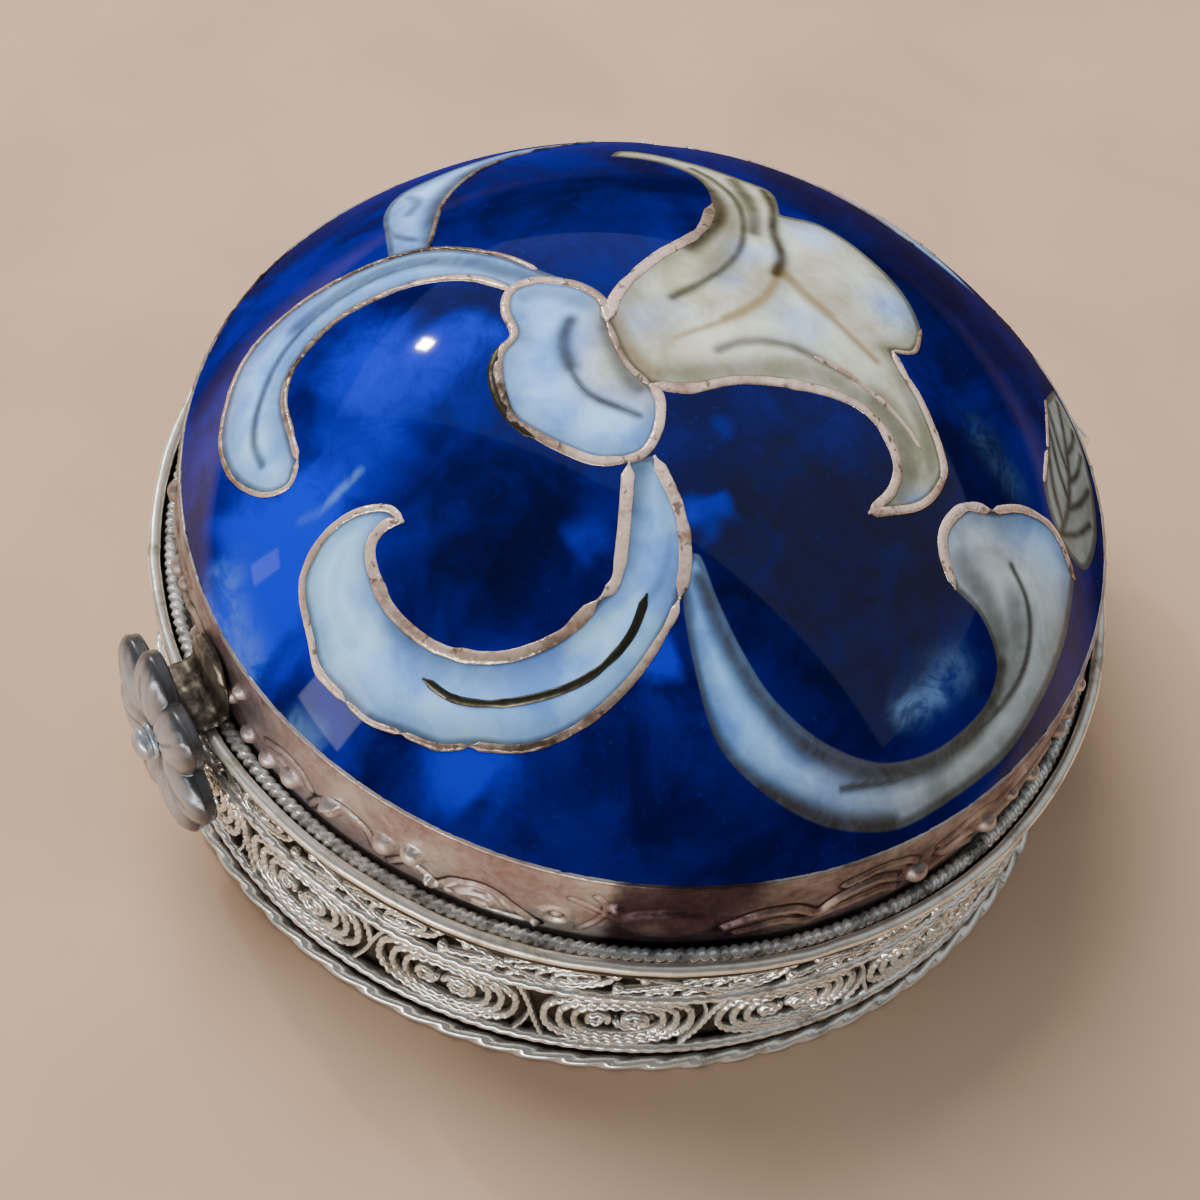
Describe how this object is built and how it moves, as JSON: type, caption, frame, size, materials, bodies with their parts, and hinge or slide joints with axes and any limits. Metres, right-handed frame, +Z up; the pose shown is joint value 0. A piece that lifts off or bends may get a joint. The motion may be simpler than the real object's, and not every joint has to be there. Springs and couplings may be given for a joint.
{
  "type": "enamelled filigree pill box",
  "caption": "Small round hinged box: domed enamel lid with a flowering scroll, bare metal border, silver filigree base and a flower clasp.",
  "frame": {"origin": "centre of the flat underside", "axes": "+Z up; the flower clasp is at -Y and the hinge at +Y"},
  "size_m": [0.0488, 0.0532, 0.0269],
  "materials": {
    "enamel": "glossy transparent blue enamel with a pale flower, bare copper-toned border",
    "silver": "worn silver wire, lightly tarnished",
    "dark_silver": "dark oxidised silver"
  },
  "bodies": {
    "base": {"base_cup": "dark_silver", "rim_wire": "silver", "mid_wire": "silver", "lower_wire": "silver", "foot_wire": "silver", "lattice_wire": "silver", "scroll_01": "silver", "scroll_02": "silver", "scroll_03": "silver", "scroll_04": "silver", "scroll_05": "silver", "scroll_06": "silver", "scroll_07": "silver", "scroll_08": "silver", "scroll_09": "silver", "scroll_10": "silver", "scroll_11": "silver", "scroll_12": "silver", "scroll_13": "silver", "scroll_14": "silver", "scroll_15": "silver", "scroll_16": "silver", "scroll_17": "silver", "scroll_18": "silver", "hinge_knuckle_left": "silver", "hinge_knuckle_right": "silver", "hinge_pin": "silver"},
    "lid": {"lid_shell": "enamel", "lid_rope": "dark_silver", "clasp_strap": "dark_silver", "clasp_flower": "silver", "clasp_bead": "silver", "hinge_knuckle_lid": "silver"}
  },
  "joints": [
    {"name": "lid_hinge", "type": "hinge", "parent": "base", "child": "lid", "pos_m": [0, 0.02535, 0.01], "axis": [-1, 0, 0], "range_deg": [0, 105]}
  ]
}
